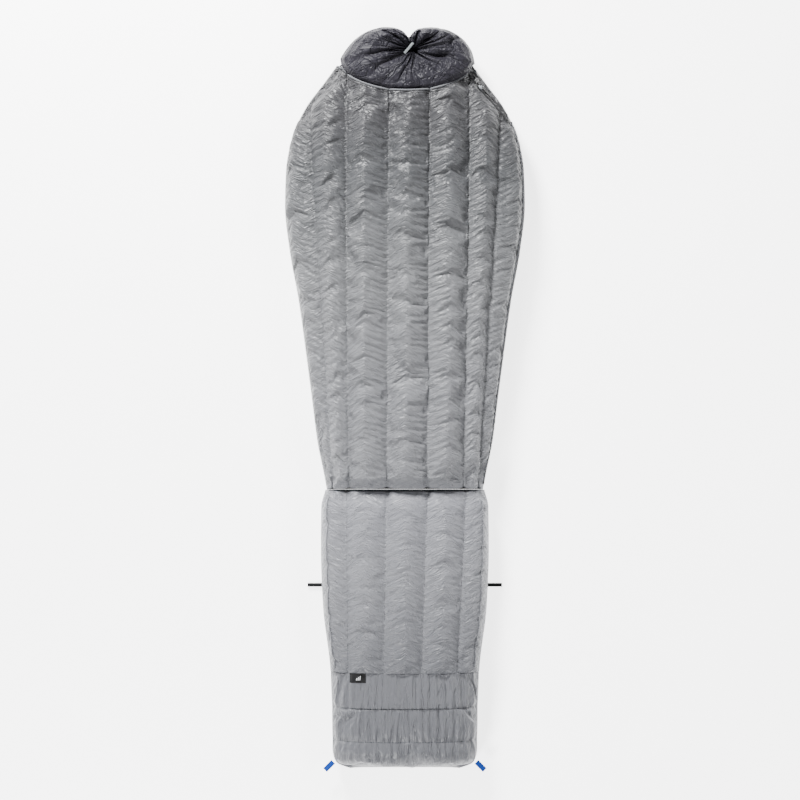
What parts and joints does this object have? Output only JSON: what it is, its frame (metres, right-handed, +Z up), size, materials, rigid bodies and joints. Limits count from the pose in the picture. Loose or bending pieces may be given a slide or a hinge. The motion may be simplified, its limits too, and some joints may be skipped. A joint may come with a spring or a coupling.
{
  "type": "mummy sleeping bag",
  "caption": "Closed mummy sleeping bag of down-filled chambers with a cinched draft collar, shoulder zip, cord lock, pad straps and hang loops at the foot.",
  "frame": {"origin": "middle of the bag's outline on the ground that it lies on", "axes": "+Y from the foot to the head, +Z up from the ground, +X to the side with the zip"},
  "size_m": [0.6504, 1.9894, 0.15],
  "materials": {
    "shell_ripstop": "calendered nylon ripstop",
    "liner_taffeta": "soft nylon taffeta",
    "collar_taffeta": "soft nylon taffeta",
    "down": "down clusters",
    "baffle_mesh": "no-see-um mesh",
    "binding_tape": "folded nylon binding",
    "drawcord": "braided elastic cord",
    "zip_tape": "woven polyester tape",
    "zip_coil": "nylon coil",
    "zip_metal": "die cast, matt",
    "moulded_plastic": "moulded acetal",
    "blue_webbing": "woven grosgrain",
    "black_webbing": "woven elastic",
    "label": "damask-woven label"
  },
  "bodies": {
    "root": {"torso_shell_top": "shell_ripstop", "torso_shell_bottom": "shell_ripstop", "leg_shell_top": "shell_ripstop", "foot_shell_top": "shell_ripstop", "leg_shell_bottom": "shell_ripstop", "liner_top": "liner_taffeta", "liner_bottom": "liner_taffeta", "collar_lining": "liner_taffeta", "collar_shell": "collar_taffeta", "torso_fill_1": "down", "torso_fill_2": "down", "torso_fill_3": "down", "torso_fill_4": "down", "torso_fill_5": "down", "torso_fill_6": "down", "torso_fill_7": "down", "leg_fill_1": "down", "leg_fill_2": "down", "leg_fill_3": "down", "leg_fill_4": "down", "leg_fill_5": "down", "foot_fill_1": "down", "foot_fill_2": "down", "foot_fill_3": "down", "torso_under_fill": "down", "leg_under_fill": "down", "foot_under_fill": "down", "collar_fill_left": "down", "collar_fill_right": "down", "collar_fill_front": "down", "collar_fill_back": "down", "collar_fill_base": "down", "torso_baffle_1": "baffle_mesh", "torso_baffle_2": "baffle_mesh", "torso_baffle_3": "baffle_mesh", "torso_baffle_4": "baffle_mesh", "torso_baffle_5": "baffle_mesh", "torso_baffle_6": "baffle_mesh", "leg_baffles": "baffle_mesh", "foot_baffles": "baffle_mesh", "foot_wall": "baffle_mesh", "knee_wall": "baffle_mesh", "neck_hem_binding": "binding_tape", "collar_drawcord": "drawcord", "hem_cord": "drawcord", "zip_tapes": "zip_tape", "side_zip_tape": "zip_tape", "zip_teeth": "zip_coil", "side_zip_chain": "zip_coil", "zip_top_stop": "zip_metal", "woven_label": "label"},
    "zip_slider": {"zip_slider": "zip_metal"},
    "zip_pull": {"zip_pull_tab": "moulded_plastic"},
    "cord_lock": {"cord_lock_body": "moulded_plastic"},
    "lock_button": {"cord_lock_button": "moulded_plastic"},
    "hang_loop_left": {"hang_loop_left": "blue_webbing"},
    "hang_loop_right": {"hang_loop_right": "blue_webbing"},
    "pad_strap_left": {"pad_strap_left": "black_webbing"},
    "pad_strap_right": {"pad_strap_right": "black_webbing"}
  },
  "joints": [
    {"name": "zip_travel", "type": "slide", "parent": "root", "child": "zip_slider", "axis": [0.6789, -0.7318, -0.06], "range_m": [0, 0.064]},
    {"name": "zip_pull_swing", "type": "hinge", "parent": "zip_slider", "child": "zip_pull", "pos_m": [0.20565, 0.82825, 0.09679], "axis": [-0.5191, -0.5361, 0.6657], "range_deg": [0, 120]},
    {"name": "cord_lock_travel", "type": "slide", "parent": "root", "child": "cord_lock", "axis": [-0.6789, 0.7318, 0.06], "range_m": [0, 0.018]},
    {"name": "lock_button_press", "type": "slide", "parent": "cord_lock", "child": "lock_button", "axis": [-0.5191, -0.5361, 0.6657], "range_m": [0, 0.0024], "stiffness_N_per_m": 300, "springref_m": -0.002},
    {"name": "hang_loop_left_lift", "type": "hinge", "parent": "root", "child": "hang_loop_left", "pos_m": [-0.192, -0.9695, 0.03595], "axis": [-0.7071, 0.7071, 0], "range_deg": [0, 60]},
    {"name": "hang_loop_right_lift", "type": "hinge", "parent": "root", "child": "hang_loop_right", "pos_m": [0.192, -0.9695, 0.03595], "axis": [-0.7071, -0.7071, 0], "range_deg": [0, 60]},
    {"name": "pad_strap_left_lift", "type": "hinge", "parent": "root", "child": "pad_strap_left", "pos_m": [-0.206, -0.498, 0.00225], "axis": [0, 1, 0], "range_deg": [0, 55]},
    {"name": "pad_strap_right_lift", "type": "hinge", "parent": "root", "child": "pad_strap_right", "pos_m": [0.206, -0.498, 0.00225], "axis": [0, -1, 0], "range_deg": [0, 55]}
  ]
}
